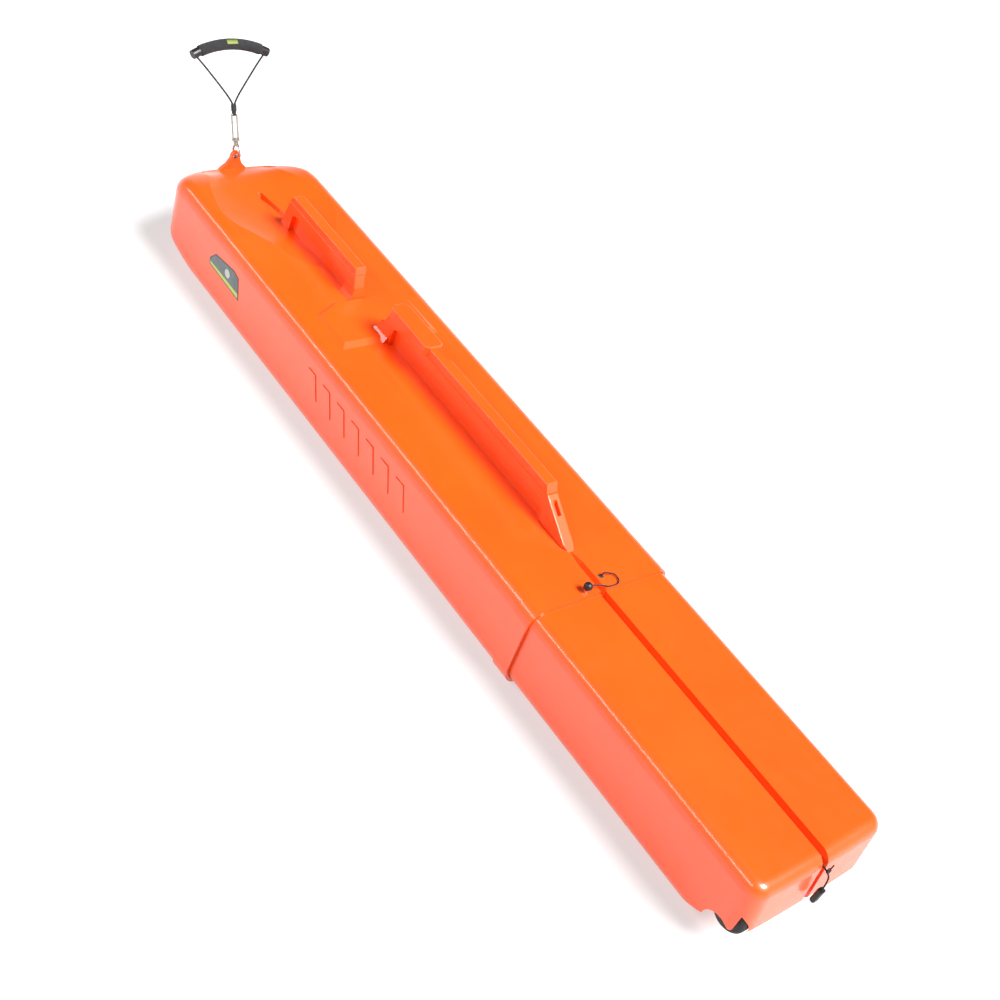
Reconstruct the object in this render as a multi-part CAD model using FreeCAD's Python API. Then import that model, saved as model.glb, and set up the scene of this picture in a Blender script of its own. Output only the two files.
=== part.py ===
import FreeCAD, Part
import math
import os

# Telescoping hard-shell ski case with a tow leash, in millimetres.
# The case lies on its flat back.  +X runs along the case to its nose, +Z is up through the rail face,
# +Y completes the frame.  The origin is on the back face, halfway along the case.

V = FreeCAD.Vector

# ---- casing -------------------------------------------------------------------------------------
NOSE_X = 865.0           # tip of the nose
TAIL_X = -853.0          # tail face, where the ramp meets it
TAIL_LEAN = 6.5          # the tail face leans in towards the rail face, degrees
HEIGHT = 172.0           # back face to rail face
HALF_WIDTH = 149.0       # at the rail face; the sides lean in towards the back
DRAFT = 3.4              # lean of the sides, degrees
WALL = 3.5
SLIDE_GAP = 1.0          # between the two shells, all round
LIP_X = -325.0           # open end of the outer shell
MOUTH_X = 239.0          # open end of the inner shell, inside the outer one
COLLAR_LENGTH = 35.0
COLLAR_RISE = 1.5        # on the sides; it fades out towards the rail face

NOSE_CORNER_R = 52.0
NOSE_BOW = 62.0          # how far the nose face bulges
NOSE_DROP_X = 755.0      # where the rail face starts to curve down
NOSE_DROP_R = 168.0
NOSE_RISE_X = 700.0      # where the back starts to curve up
NOSE_RISE_R = 325.0
RIM_FRONT_R = 25.0
RIM_BACK_R = 45.0
TAIL_CORNER_R = 28.0
TAIL_BOW = 3.0
RAMP_ANGLE = 29.3        # cut across the back of the tail
RAMP_TOP_Z = 75.0        # where the ramp meets the tail face
RAMP_RIM_R = 8.0

# ---- shallow dish round the upper rail, pointed towards the tail: (x, half width, depth) -----------
DISH = ((470.0, 12.0, 1.4), (515.0, 35.0, 3.3), (560.0, 60.0, 5.4), (620.0, 92.0, 8.6),
        (668.0, 115.0, 11.2), (704.0, 115.0, 13.2), (740.0, 106.0, 13.6), (775.0, 93.0, 11.6),
        (810.0, 78.0, 6.4), (848.0, 50.0, -2.0))
DISH_SHAPE = 2.2         # how flat the middle of the dish is and how crisp its edge
DISH_REACH = 1.12        # the scooping surface carries on past the edge, above the face
DISH_MIN_RISE = 0.8

# ---- groove down the inner shell and its key in the outer one ------------------------------------
GROOVE_TOP_HALF = 7.0
GROOVE_FLOOR_HALF = 5.5
GROOVE_DEPTH = 12.0
KEY_CLEAR = 1.0          # between the key and the walls and floor of the groove
KEY_END_X = -233.0

# ---- carry rails -------------------------------------------------------------------------------
TROUGH_DEPTH = 1.8
TROUGH_HALF = 13.0
RAIL_HALF = 11.0
WEB_HALF = 2.2
FINGER_TOP = 36.0        # height of the bar's underside above the rail face
STRIP_BOTTOM = 52.0
LOWER_RAIL_TOP = 68.0
UPPER_RAIL_TOP = 60.0
PAD_RISE = 5.0

# ---- length lock ---------------------------------------------------------------------------------
LOCK_X = -316.0
LOCK_Y = 33.0
LOCK_PITCH = 50.0
LOCK_HOLES = 6
LOCK_PIN_R = 3.95
LOCK_HOLE_R = 4.0
LOCK_TIP_Z = 167.8
KNOB_R = 7.5
KNOB_Z = 185.0
ANCHOR_X = -299.0
ANCHOR_Y = -15.0

# ---- wheels --------------------------------------------------------------------------------------
AXLE_X = -817.0
AXLE_Z = 79.0
AXLE_R = 4.0
WHEEL_R = 29.5
HUB_R = 21.0
BUSH_R = 5.5
WHEEL_CLEAR = 0.05       # running clearance of the bush on its pin
WELL_R = 31.5
WELL_IN_Y = 107.0
WELL_OUT_Y = 136.0
BOSS_Y = 133.0
WHEEL_IN_Y = 109.4
WHEEL_OUT_Y = 131.4
ARCH_X = -814.0          # centre of the cut in the side under the wheel
ARCH_Z = 45.5
ARCH_R = 26.0

# ---- tow lug, hook and leash ----------------------------------------------------------------------
LUG_X = 846.0
LUG_Z = 174.0
LUG_THICK = 7.0
LUG_TOP_R = 10.0
EYE_BUSH_R = 6.0
EYE_R = 5.0
LEASH_TILT = 29.3        # lean of the leash towards the nose, from +Z
HOOK_R = 11.0
HOOK_WIRE_R = 2.2
SWIVEL_Z = 29.3          # foot of the swivel eye, along the leash
BAIL_Z = 78.0            # cross bar that the webbing goes round
BAIL_HALF = 5.5
BAIL_WIRE_R = 1.5
SLEEVE_BOTTOM = 84.0
SLEEVE_TOP = 97.0
LEG_R = 2.0
GRIP_MID_Z = 205.0       # middle of the grip's centre line
GRIP_BEND_R = 196.7
GRIP_FOAM_R = 10.5
GRIP_TUBE_R = 5.0
GRIP_CAP_R = 8.5
GRIP_FOAM_ANGLE = 19.5   # half the bend that the foam covers, degrees
GRIP_END_ANGLE = 24.0
GATE_X = -6.2            # hinge of the hook's gate, from the middle of the eye
GATE_Z = 20.4
GATE_REACH = 16.6        # from the hinge to the free end of the gate

# ---- cords ---------------------------------------------------------------------------------------
LANYARD_R = 1.4
RUN_SHARE = 0.45         # how much of a run each of its two bends uses
TAIL_EYE_Z = 150.0
TAIL_CORD_R = 1.5
TOGGLE_X = -862.0
TOGGLE_TOP_Z = 116.0

INNER_INSET = WALL + SLIDE_GAP
RAMP_SLOPE = math.tan(math.radians(RAMP_ANGLE))
DRAFT_SLOPE = math.tan(math.radians(DRAFT))
LEAN_SLOPE = math.tan(math.radians(TAIL_LEAN))
TAIL_EYE_X = TAIL_X + GROOVE_DEPTH + (TAIL_EYE_Z - RAMP_TOP_Z) * LEAN_SLOPE


# ---- small helpers -----------------------------------------------------------------------------
def box(x0, x1, y0, y1, z0, z1):
    return Part.makeBox(x1 - x0, y1 - y0, z1 - z0, V(x0, y0, z0))


def rod(start, end, radius):
    """A round rod between two points."""
    along = end - start
    return Part.makeCylinder(radius, along.Length, start, along)


def disc_y(x, z, radius, y0, y1):
    return rod(V(x, y0, z), V(x, y1, z), radius)


def prism_xz(points, y0, y1):
    """A side outline given as (x, z) points, as thick as y0 to y1."""
    wire = Part.makePolygon([V(x, y0, z) for x, z in points + points[:1]])
    return Part.Face(wire).extrude(V(0, y1 - y0, 0))


def prism_yz(points, x0, x1):
    wire = Part.makePolygon([V(x0, y, z) for y, z in points + points[:1]])
    return Part.Face(wire).extrude(V(x1 - x0, 0, 0))


def prism_xy(points, z0, z1):
    wire = Part.makePolygon([V(x, y, z0) for x, y in points + points[:1]])
    return Part.Face(wire).extrude(V(0, 0, z1 - z0))


def fuse(*solids):
    joined = solids[0].fuse(list(solids[1:]))
    return joined.removeSplitter()


def mirrored(shape):
    """The same piece on the other side of the centre plane."""
    return shape.mirror(V(0, 0, 0), V(0, 1, 0))


def as_is(shape):
    return shape


def rounded(solid, radius, wanted):
    """Rounds the edges whose middle point the test `wanted` accepts."""
    edges = [e for e in solid.Edges if wanted(e.valueAt((e.FirstParameter + e.LastParameter) / 2))]
    return solid.makeFillet(radius, edges)


def save(node, shape):
    shape.exportStep("parts/%s.step" % node)
    print("%-24s %3d solids  valid %s  %10.0f mm3" % (node, len(shape.Solids), shape.isValid(), shape.Volume))


# ---- casing forms --------------------------------------------------------------------------------
def half_width(z, inset):
    return HALF_WIDTH - (HEIGHT - z) * DRAFT_SLOPE - inset


def plan_outline(x_open, x_end, half, corner_r, bow, z):
    """Outline from above: straight open end, bowed closed end, tangent corner arcs."""
    way = 1 if x_end > x_open else -1
    bow_r = (half ** 2 + bow ** 2) / (2 * bow)
    bow_x = x_end - way * bow_r
    corner_y = half - corner_r
    corner_x = bow_x + way * math.sqrt((bow_r - corner_r) ** 2 - corner_y ** 2)
    scale = bow_r / (bow_r - corner_r)
    join = V(bow_x + (corner_x - bow_x) * scale, corner_y * scale, z)
    turn = math.atan2(join.y - corner_y, (join.x - corner_x) * way)
    half_turn = (turn + math.pi / 2) / 2
    knee = V(corner_x + way * corner_r * math.cos(half_turn), corner_y + corner_r * math.sin(half_turn), z)

    def flip(p):
        return V(p.x, -p.y, p.z)

    side = V(corner_x, half, z)
    foot = V(x_open, half, z)
    return Part.Wire([
        Part.LineSegment(flip(foot), flip(side)).toShape(),
        Part.Arc(flip(side), flip(knee), flip(join)).toShape(),
        Part.Arc(flip(join), V(x_end, 0, z), join).toShape(),
        Part.Arc(join, knee, side).toShape(),
        Part.LineSegment(side, foot).toShape(),
        Part.LineSegment(foot, flip(foot)).toShape(),
    ])


def rim_test(x_open, x_end, z0, z1):
    def wanted(p):
        at_side = abs(p.y) > 0.6 * HALF_WIDTH
        at_end = abs(p.x - x_end) < 25.0
        return z0 < p.z < z1 and (at_side or at_end) and abs(p.x - x_open) > 1.0
    return wanted


def case_form(x_open, x_end, inset, corner_r, bow, lean_slope=0.0):
    """Sharp-edged form of a shell surface that lies `inset` inside the outer shell's outside.

    The closed end is at x_end at the height of the ramp's top, and leans by lean_slope.
    """
    low_x = x_end - (RAMP_TOP_Z - inset) * lean_slope
    high_x = x_end + (HEIGHT - inset - RAMP_TOP_Z) * lean_slope
    lower = plan_outline(x_open, low_x, half_width(inset, inset), corner_r - inset, bow, inset)
    upper = plan_outline(x_open, high_x, half_width(HEIGHT - inset, inset), corner_r - inset, bow,
                         HEIGHT - inset)
    return Part.makeLoft([lower, upper], True, True)


def beyond_arc(centre, radius, way, reach):
    """Everything above (way 1) or below (way -1) an arc in the XZ plane that runs on towards the nose."""
    def on_arc(ahead):
        return V(centre.x + ahead, 0, centre.z + way * math.sqrt(radius ** 2 - ahead ** 2))

    far_z = centre.z + way * (radius + 20)
    region = Part.Face(Part.Wire([
        Part.Arc(on_arc(0), on_arc(reach / 2), on_arc(reach)).toShape(),
        Part.LineSegment(on_arc(reach), V(centre.x + reach, 0, far_z)).toShape(),
        Part.LineSegment(V(centre.x + reach, 0, far_z), V(centre.x, 0, far_z)).toShape(),
        Part.LineSegment(V(centre.x, 0, far_z), on_arc(0)).toShape(),
    ]))
    region.translate(V(0, -200, 0))
    return region.extrude(V(0, 400, 0))


def outer_form(inset, x_open):
    """Outside (inset 0) or cavity (inset WALL) of the outer shell."""
    x_end = NOSE_X - inset
    form = case_form(x_open, x_end, inset, NOSE_CORNER_R, NOSE_BOW)
    drop = beyond_arc(V(NOSE_DROP_X, 0, HEIGHT - NOSE_DROP_R), NOSE_DROP_R - inset, 1, 130.0)
    rise = beyond_arc(V(NOSE_RISE_X, 0, NOSE_RISE_R), NOSE_RISE_R - inset, -1, 190.0)
    form = form.cut(drop).cut(rise)
    form = rounded(form, RIM_FRONT_R - inset, rim_test(x_open, x_end, 112, 180))
    return rounded(form, RIM_BACK_R - inset, rim_test(x_open, x_end, -5, 62))


def inner_form(inset, x_open):
    """Outside (inset INNER_INSET) or cavity of the inner shell, with the ramp cut across its back."""
    step = inset - INNER_INSET
    x_end = TAIL_X + step
    form = case_form(x_open, x_end, inset, TAIL_CORNER_R + INNER_INSET, TAIL_BOW, LEAN_SLOPE)
    ramp_z = RAMP_TOP_Z + step / math.cos(math.radians(RAMP_ANGLE))
    reach = 400.0
    below = prism_xz([(TAIL_X - 40, ramp_z + 40 * RAMP_SLOPE), (TAIL_X - 40, -60),
                      (TAIL_X + reach, -60), (TAIL_X + reach, ramp_z - reach * RAMP_SLOPE)], -200, 200)
    form = form.cut(below)
    form = rounded(form, RIM_FRONT_R - inset, rim_test(x_open, x_end, 140, 180))
    form = rounded(form, RIM_BACK_R - inset, lambda p: p.z < inset + 0.1 and abs(p.y) > 50)

    def on_ramp(p):
        return abs(p.z - ramp_z + (p.x - TAIL_X) * RAMP_SLOPE) < 0.5

    return rounded(form, RAMP_RIM_R - step, on_ramp)


def nose_drop(x):
    """How far the rail face has curved down at x."""
    ahead = max(0.0, x - NOSE_DROP_X)
    return NOSE_DROP_R - math.sqrt(NOSE_DROP_R ** 2 - ahead ** 2)


def dish(lowered):
    """Solid that hollows out the rail face round the upper rail, to a crisp edge."""
    rows = []
    for x, half, depth in DISH:
        edge_z = HEIGHT - lowered - nose_drop(x)
        row = []
        for k in range(17):
            across = DISH_REACH * (-1.0 + k / 8.0)
            rise = max(depth, DISH_MIN_RISE) * abs(across) ** DISH_SHAPE
            row.append(V(x, half * across, edge_z - depth + rise))
        rows.append(row)
    floor = Part.BSplineSurface()
    floor.interpolate(rows)
    return floor.toShape().extrude(V(0, 0, 60))


def side_patch(points, thick, sink):
    """A flat patch on the +Y side; points are (x, distance below the rail face)."""
    face = Part.Face(Part.makePolygon([V(x, 0, -down) for x, down in points + points[:1]]))
    patch = face.extrude(V(0, thick + sink, 0))
    patch.translate(V(0, -sink, 0))
    patch.rotate(V(0, 0, 0), V(1, 0, 0), -DRAFT)
    patch.translate(V(0, HALF_WIDTH, HEIGHT))
    return patch


# ---- casing ----------------------------------------------------------------------------------------
def trough():
    """Shallow seats of the two rails, round-ended, and the pointed dip ahead of the upper one."""
    seats = []
    for x0, x1 in ((-236.0, 330.0), (396.0, 652.0)):
        seat = box(x0 + TROUGH_HALF, x1 - TROUGH_HALF, -TROUGH_HALF, TROUGH_HALF, -TROUGH_DEPTH, 30)
        for x in (x0 + TROUGH_HALF, x1 - TROUGH_HALF):
            seat = seat.fuse(Part.makeCylinder(TROUGH_HALF, 30 + TROUGH_DEPTH, V(x, 0, -TROUGH_DEPTH)))
        seat.translate(V(0, 0, HEIGHT))
        seats.append(seat)
    return seats


def nose_dip(deeper):
    """Pointed dip between the upper rail and the lug."""
    half = 12.0 + deeper
    points = [(668.0 - deeper, HEIGHT + 20), (668.0 - deeper, HEIGHT - 19 - deeper),
              (742.0 + deeper, HEIGHT - 24 - deeper), (770.0 + deeper, HEIGHT + 20)]
    wedge = prism_xz(points, -half, half)
    plan = prism_xy([(660.0 - deeper, -half), (690.0, -half), (775.0 + 2 * deeper, 0), (690.0, half),
                     (660.0 - deeper, half)], HEIGHT - 60, HEIGHT + 20)
    return wedge.common(plan)


def make_pad():
    """Low raised pad between the rails; its edges are bevels, the widest towards the tail."""
    base = [(285, -104), (380, -101), (404, -50), (404, 50), (380, 101), (285, 104), (285, -104)]
    crown = [(299, -92), (374, -93), (397, -47), (397, 47), (374, 93), (299, 92), (299, -92)]
    return Part.makeLoft([Part.makePolygon([V(x, y, HEIGHT - 0.5) for x, y in base]),
                          Part.makePolygon([V(x, y, HEIGHT + PAD_RISE) for x, y in crown])], True, True)


def make_lug():
    flare = [(-31, 112), (31, 112), (31, 143), (25, 150), (16, 158), (10.2, 169), (9.6, 176), (-9.6, 176),
             (-10.2, 169), (-16, 158), (-25, 150), (-31, 143)]
    lug = prism_yz(flare, LUG_X - LUG_THICK / 2, LUG_X + LUG_THICK / 2)
    top = Part.makeCylinder(LUG_TOP_R, LUG_THICK, V(LUG_X - LUG_THICK / 2, 0, LUG_Z), V(1, 0, 0))
    return fuse(lug, top)


def make_collar():
    """Thicker band at the open end; sunk a little, so that it stands out only on the sides."""
    band = outer_form(-COLLAR_RISE, LIP_X).common(box(LIP_X, LIP_X + COLLAR_LENGTH, -200, 200, -20, 200))
    band.translate(V(0, 0, -COLLAR_RISE - 0.1))
    return band.common(box(LIP_X, LIP_X + COLLAR_LENGTH, -200, 200, 0, 200))


def make_key():
    """Key under the lip that runs in the inner shell's groove."""
    slope = (GROOVE_TOP_HALF - GROOVE_FLOOR_HALF) / GROOVE_DEPTH
    top = HEIGHT - INNER_INSET
    low = top - GROOVE_DEPTH + KEY_CLEAR
    wide = GROOVE_TOP_HALF - KEY_CLEAR
    narrow = wide - (top - low) * slope
    return prism_yz([(-wide, HEIGHT), (-wide, top), (-narrow, low), (narrow, low), (wide, top), (wide, HEIGHT)],
                    LIP_X - 30, KEY_END_X)


def lip_groove():
    """Groove in the lip above the key; it runs out to a point towards the lower rail."""
    rings = []
    for x, wide, narrow, low in ((LIP_X - 1, 6.6, 2.2, 160.2), (LIP_X + 62, 6.4, 2.0, 161.5),
                                 (KEY_END_X - 4, 1.0, 0.3, 171.6)):
        rings.append(Part.makePolygon([V(x, -wide, 174), V(x, -narrow, low), V(x, narrow, low),
                                       V(x, wide, 174), V(x, -wide, 174)]))
    return Part.makeLoft(rings, True, True)


def make_outer_shell():
    outside = outer_form(0, LIP_X)
    for seat in trough():
        outside = outside.cut(seat)
    outside = outside.cut(dish(0)).cut(nose_dip(0))
    outside = outside.fuse([make_collar(), make_pad(), make_lug()] + side_ribs())
    filled = outside.copy()

    cavity = outer_form(WALL, LIP_X - 20).cut(dish(WALL)).cut(nose_dip(WALL))
    shell = outside.cut(cavity.cut(make_key())).cut(lip_groove())
    shell = shell.cut(Part.makeCylinder(LOCK_HOLE_R, 30, V(LOCK_X, LOCK_Y, 155)))
    shell = shell.cut(Part.makeCylinder(2.6, 30, V(ANCHOR_X, ANCHOR_Y, 155)))
    shell = shell.cut(rod(V(LUG_X - 20, 0, LUG_Z), V(LUG_X + 20, 0, LUG_Z), EYE_BUSH_R))
    return shell, filled


def side_ribs():
    """A row of slanted raised bars on both sides."""
    ribs = []
    for i in range(7):
        x = 4.0 + 46.0 * i
        bar = side_patch([(x - 14, 92), (x + 8, 92), (x + 26, 46), (x + 4, 46)], 1.4, 2.0)
        ribs += [bar, mirrored(bar)]
    return ribs


def well(deeper):
    """Room for the +Y wheel, open at the ramp."""
    y0 = WELL_IN_Y - deeper
    y1 = WELL_OUT_Y + deeper
    radius = WELL_R + deeper
    return fuse(disc_y(AXLE_X, AXLE_Z, radius, y0, y1),
                box(AXLE_X - radius, AXLE_X + radius, y0, y1, -60, AXLE_Z))


def groove_cut(deeper):
    """The long groove in the rail face and its run down the tail face."""
    top = HEIGHT - INNER_INSET
    floor = top - GROOVE_DEPTH - deeper
    wide = GROOVE_TOP_HALF + deeper
    narrow = GROOVE_FLOOR_HALF + deeper
    start = TAIL_X - 25
    along = prism_yz([(-wide, top + 0.01), (-narrow, floor), (narrow, floor), (wide, top + 0.01)],
                     start, MOUTH_X + 10)
    depth_x = TAIL_X + GROOVE_DEPTH + deeper
    down = prism_xy([(TAIL_X - 15, -wide), (TAIL_X - 0.01, -wide), (depth_x, -narrow), (depth_x, narrow),
                     (TAIL_X - 0.01, wide), (TAIL_X - 15, wide)], 40, HEIGHT + 12)
    down.rotate(V(TAIL_X, 0, RAMP_TOP_Z), V(0, 1, 0), TAIL_LEAN)
    return fuse(along, down, box(start, MOUTH_X + 10, -wide, wide, top, HEIGHT + 10))


def make_inner_shell():
    outside = inner_form(INNER_INSET, MOUTH_X)
    cavity = inner_form(INNER_INSET + WALL, MOUTH_X + 20)
    cavity = cavity.cut(groove_cut(WALL - 0.4))
    shell = outside.cut(groove_cut(0))
    for side in (as_is, mirrored):
        cavity = cavity.cut(side(well(WALL)))
    shell = shell.cut(cavity)
    for side in (as_is, mirrored):
        boss = disc_y(AXLE_X, AXLE_Z, 8.0, BOSS_Y, WELL_OUT_Y + 1)
        shell = shell.cut(side(well(0))).fuse(side(boss))
        shell = shell.cut(side(disc_y(AXLE_X, AXLE_Z, AXLE_R, 90, 138)))
        shell = shell.cut(side(disc_y(ARCH_X, ARCH_Z, ARCH_R, 125, 160)))
    notch = [(-4, -8), (-4, 8), (222, 126), (250, 126), (250, -126), (222, -126)]
    shell = shell.cut(prism_xy(notch, HEIGHT - INNER_INSET - 26, HEIGHT + 5))
    for i in range(LOCK_HOLES):
        shell = shell.cut(Part.makeCylinder(LOCK_HOLE_R + 0.4, 20, V(LOCK_X + i * LOCK_PITCH, LOCK_Y, 155)))
    return shell.cut(rod(V(TAIL_X - 5, 0, TAIL_EYE_Z), V(TAIL_X + 40, 0, TAIL_EYE_Z), 3.0))


# ---- carry rails ---------------------------------------------------------------------------------
def rail_ridge(side_points, window_points):
    """Ridge with a finger gap on each side of a thin web."""
    ridge = prism_xz(side_points, -RAIL_HALF, RAIL_HALF)
    ridge = rounded(ridge, 2.0, lambda p: abs(p.y) > RAIL_HALF - 0.01 and p.z < HEIGHT + STRIP_BOTTOM - 1)
    return ridge.cut(prism_xz(window_points, WEB_HALF, 30)).cut(prism_xz(window_points, -30, -WEB_HALF))


def rail_foot(x0, x1, lean_in, base_half, low):
    """Foot that spreads sideways into the rail face; `lean_in` pulls its top in from x1 or x0."""
    rings = []
    for z, spread in ((low, 1.0), (HEIGHT + 1, 0.9), (HEIGHT + 9, 0.3), (HEIGHT + 24, 0.0)):
        half = RAIL_HALF - 0.4 + (base_half - RAIL_HALF) * spread
        rise = max(0.0, z - HEIGHT) / 24.0
        a = x0 - min(0.0, lean_in) * rise
        b = x1 - max(0.0, lean_in) * rise
        rings.append(Part.makePolygon([V(a, -half, z), V(b, -half, z), V(b, half, z), V(a, half, z),
                                       V(a, -half, z)]))
    return Part.makeLoft(rings, True, True)


def make_lower_rail(filled):
    top = HEIGHT + STRIP_BOTTOM
    low = HEIGHT - 12
    gap = HEIGHT + FINGER_TOP
    sides = [(-246, low), (-239, HEIGHT), (-160, top), (300, top), (324, HEIGHT), (326, low)]
    window = [(-166, low), (-158, gap - 5), (-150, gap), (272, gap), (280, gap - 5), (280, low)]
    toe = prism_xy([(-250, -2.0), (-200, -20), (340, -20), (340, 20), (-200, 20), (-250, 2.0)],
                   low - 5, top + 5)
    ridge = rail_ridge(sides, window).common(toe)
    slot = prism_xz([(-192, top - 30), (-170, top - 16), (-166, top + 5), (-186, top - 2)], -4, 4)
    return ridge.cut(slot).fuse(rail_foot(284, 325, 9.0, 23.0, low)).cut(filled)


def make_lower_strip():
    z0 = HEIGHT + STRIP_BOTTOM
    z1 = HEIGHT + LOWER_RAIL_TOP
    bar = prism_xz([(-158, z0), (-150, z1), (190, z1), (190, z0)], -RAIL_HALF, RAIL_HALF)
    bar = rounded(bar, 2.6, lambda p: p.z > z1 - 0.01 and p.x < 185)
    bar = rounded(bar, 0.9, lambda p: abs(p.z - z0) < 0.01 and p.x < 185)
    cap = prism_xy([(183, -12), (190, -18.5), (292, -18.5), (300, -10), (300, 10), (292, 18.5),
                    (190, 18.5), (183, 12)], z0, z1 + 3)
    cap = rounded(cap, 2.6, lambda p: p.z > z1 + 2.9)
    cap = rounded(cap, 0.9, lambda p: abs(p.z - z0) < 0.01)
    return bar.fuse(cap).cut(box(150, 181, -14, -2, z1 - 9, z1 + 9))


def make_upper_rail(filled):
    top = HEIGHT + STRIP_BOTTOM - 6
    low = HEIGHT - 30
    gap = HEIGHT + FINGER_TOP - 6
    sides = [(402, low), (404, HEIGHT + 20), (412, top), (638, top), (648, HEIGHT), (650, low)]
    window = [(434, low), (434, gap - 5), (440, gap), (610, gap), (620, gap - 5), (624, low)]
    ridge = rail_ridge(sides, window)
    return ridge.fuse(rail_foot(401, 432, -3.0, 19.0, low)).cut(filled)


def make_upper_strip():
    z0 = HEIGHT + STRIP_BOTTOM - 6
    z1 = HEIGHT + UPPER_RAIL_TOP
    strip = prism_xz([(412, z0), (416, z1), (630, z1), (638, z0)], -RAIL_HALF, RAIL_HALF)
    strip = rounded(strip, 2.6, lambda p: p.z > z1 - 0.01)
    return rounded(strip, 0.9, lambda p: abs(p.z - z0) < 0.01)


# ---- length lock -----------------------------------------------------------------------------------
def make_lock_pin():
    return Part.makeCylinder(LOCK_PIN_R, KNOB_Z - LOCK_TIP_Z, V(LOCK_X, LOCK_Y, LOCK_TIP_Z))


def make_lock_knob(pin):
    return Part.makeSphere(KNOB_R, V(LOCK_X, LOCK_Y, KNOB_Z)).cut(pin)


def make_anchor_eyelet():
    flange = Part.makeCylinder(4.6, 1.0, V(ANCHOR_X, ANCHOR_Y, HEIGHT))
    barrel = Part.makeCylinder(2.6, WALL + 0.4, V(ANCHOR_X, ANCHOR_Y, HEIGHT - WALL + 0.1))
    return fuse(flange, barrel).cut(Part.makeCylinder(LANYARD_R, 20, V(ANCHOR_X, ANCHOR_Y, HEIGHT - 5.0)))


# ---- cords -----------------------------------------------------------------------------------------
def cord_path(points):
    """Straight runs joined by tangent arcs; each arc is as large as its two runs allow."""
    edges = []
    start = points[0]
    radii = []
    for i in range(1, len(points) - 1):
        corner = points[i]
        back = points[i - 1] - corner
        on = points[i + 1] - corner
        turn = math.pi - back.getAngle(on)
        reach = RUN_SHARE * min(back.Length, on.Length)
        radius = reach / math.tan(turn / 2)
        back.normalize()
        on.normalize()
        enter = corner + back * reach
        leave = corner + on * reach
        bisector = (back + on).normalize()
        centre = corner + bisector * (radius / math.cos(turn / 2))
        middle = centre - bisector * radius
        if (enter - start).Length > 0.001:
            edges.append(Part.LineSegment(start, enter).toShape())
        edges.append(Part.Arc(enter, middle, leave).toShape())
        start = leave
        radii.append(radius)
    edges.append(Part.LineSegment(start, points[-1]).toShape())
    return Part.Wire(edges), radii


def cord(name, points, radius):
    path, radii = cord_path(points)
    heading = points[1] - points[0]
    section = Part.Wire([Part.makeCircle(radius, points[0], heading)])
    tube = path.makePipeShell([section], True, False)
    print("%s: length %.1f, radii %s, volume ratio %.3f" % (
        name, path.Length, [round(r, 1) for r in radii],
        tube.Volume / (math.pi * radius ** 2 * path.Length)))
    return tube


def make_lanyard():
    """From beside the knob across the lip, round in a hook and down into its eyelet."""
    lying_z = HEIGHT + 2.2
    points = [V(LOCK_X, LOCK_Y - KNOB_R - 0.3, KNOB_Z), V(LOCK_X - 2.5, LOCK_Y - 23, KNOB_Z - 2),
              V(LOCK_X - 7, LOCK_Y - 46, lying_z), V(LOCK_X - 7, LOCK_Y - 70, lying_z),
              V(LOCK_X + 11, LOCK_Y - 73, lying_z + 1), V(LOCK_X + 15, LOCK_Y - 58, lying_z + 5),
              V(ANCHOR_X, ANCHOR_Y, HEIGHT + 10), V(ANCHOR_X, ANCHOR_Y, HEIGHT - 2.5)]
    return cord("lock_lanyard", points, LANYARD_R)


def make_tail_cord():
    """Out of the eyelet in the tail face and down to the toggle."""
    points = [V(TAIL_EYE_X + 3.5, 0, TAIL_EYE_Z), V(TAIL_EYE_X - 17.5, 0, TAIL_EYE_Z),
              V(TOGGLE_X + 0.5, 0, TOGGLE_TOP_Z + 15), V(TOGGLE_X, 0, TOGGLE_TOP_Z)]
    return cord("tail_cord", points, TAIL_CORD_R)


# ---- wheels, on the +Y side ------------------------------------------------------------------------
def make_tyre():
    tyre = disc_y(AXLE_X, AXLE_Z, WHEEL_R, WHEEL_IN_Y, WHEEL_OUT_Y)
    tyre = rounded(tyre, 7.0, lambda p: (p - V(AXLE_X, p.y, AXLE_Z)).Length > WHEEL_R - 0.1
                   and abs(p.y - 120.4) > 10.9)
    return tyre.cut(disc_y(AXLE_X, AXLE_Z, HUB_R, 90, 150))


def make_hub():
    hub = disc_y(AXLE_X, AXLE_Z, HUB_R, WHEEL_IN_Y, WHEEL_OUT_Y)
    for y0, y1 in ((WHEEL_IN_Y, WHEEL_IN_Y + 6), (WHEEL_OUT_Y - 6, WHEEL_OUT_Y)):
        dish = disc_y(AXLE_X, AXLE_Z, 17.5, y0, y1).cut(disc_y(AXLE_X, AXLE_Z, 8.5, y0, y1))
        hub = hub.cut(dish)
    for i in range(6):
        turn = math.radians(60 * i)
        hub = hub.cut(disc_y(AXLE_X + 13 * math.cos(turn), AXLE_Z + 13 * math.sin(turn), 3.2, 100, 140))
    return hub.cut(disc_y(AXLE_X, AXLE_Z, BUSH_R, 100, 140))


def make_bushes():
    pair = []
    for y0, y1 in ((WHEEL_IN_Y, WHEEL_IN_Y + 8), (WHEEL_OUT_Y - 8, WHEEL_OUT_Y)):
        ring = disc_y(AXLE_X, AXLE_Z, BUSH_R, y0, y1)
        pair.append(ring.cut(disc_y(AXLE_X, AXLE_Z, AXLE_R + WHEEL_CLEAR, y0, y1)))
    return Part.makeCompound(pair)


def make_axle():
    return disc_y(AXLE_X, AXLE_Z, AXLE_R, 98, 138)


def make_axle_cap():
    cap = disc_y(AXLE_X, AXLE_Z, 9.0, WELL_IN_Y - WALL - 2.0, WELL_IN_Y - WALL)
    crown = disc_y(AXLE_X, AXLE_Z, 6.0, 98, WELL_IN_Y - WALL - 2.0)
    return fuse(cap, crown).cut(disc_y(AXLE_X, AXLE_Z, AXLE_R, 90, 140))


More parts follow.
